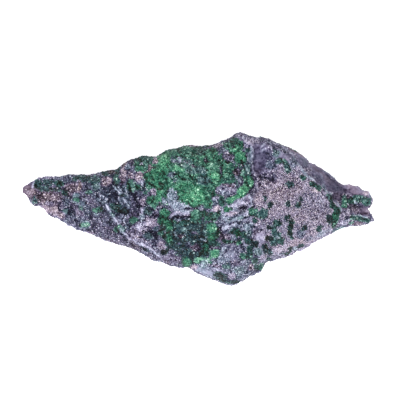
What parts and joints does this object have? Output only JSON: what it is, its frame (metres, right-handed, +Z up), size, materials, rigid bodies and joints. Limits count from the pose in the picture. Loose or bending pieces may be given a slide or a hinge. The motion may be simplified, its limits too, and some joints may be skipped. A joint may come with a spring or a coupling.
{
  "type": "uvarovite garnet druse on chromite matrix",
  "caption": "Elongated lozenge-shaped rock specimen: dark chromite matrix with a sparkling crust of small emerald-green garnet crystals and a pale grainy coat, lying on a flat break.",
  "frame": {"origin": "under the middle of the specimen's bounding box, on the surface that it rests on", "axes": "+X along the specimen from the long left arm to the two-pronged right end, +Y across it towards the edge with the bare fracture face, +Z up out of the crystal-covered side"},
  "size_m": [0.0838, 0.0368, 0.0227],
  "materials": {
    "rock": "rough broken chromite ore, dull, purplish grey",
    "garnet_bright": "glassy emerald-green garnet crystals",
    "garnet_dark": "glassy dark green garnet crystals",
    "chlorite": "pearly grains of pinkish-grey chlorite"
  },
  "bodies": {
    "root": {"chromite_matrix": "rock", "uvarovite_crown_druse": "garnet_bright", "uvarovite_lower_druse": "garnet_dark", "uvarovite_knob_druse": "garnet_dark", "uvarovite_knob_edge_crust": "garnet_dark", "uvarovite_ribs_cluster": "garnet_dark", "uvarovite_slab_cluster_large": "garnet_dark", "uvarovite_slab_cluster_long": "garnet_dark", "uvarovite_slab_cluster_top": "garnet_dark", "uvarovite_ridge_cluster": "garnet_dark", "uvarovite_slab_end_druse": "garnet_dark", "uvarovite_upper_prong_crust": "garnet_bright", "uvarovite_lower_prong_crust": "garnet_dark", "uvarovite_arm_crust": "garnet_dark", "uvarovite_arm_spot": "garnet_bright", "chlorite_slab_coat": "chlorite"}
  },
  "joints": []
}
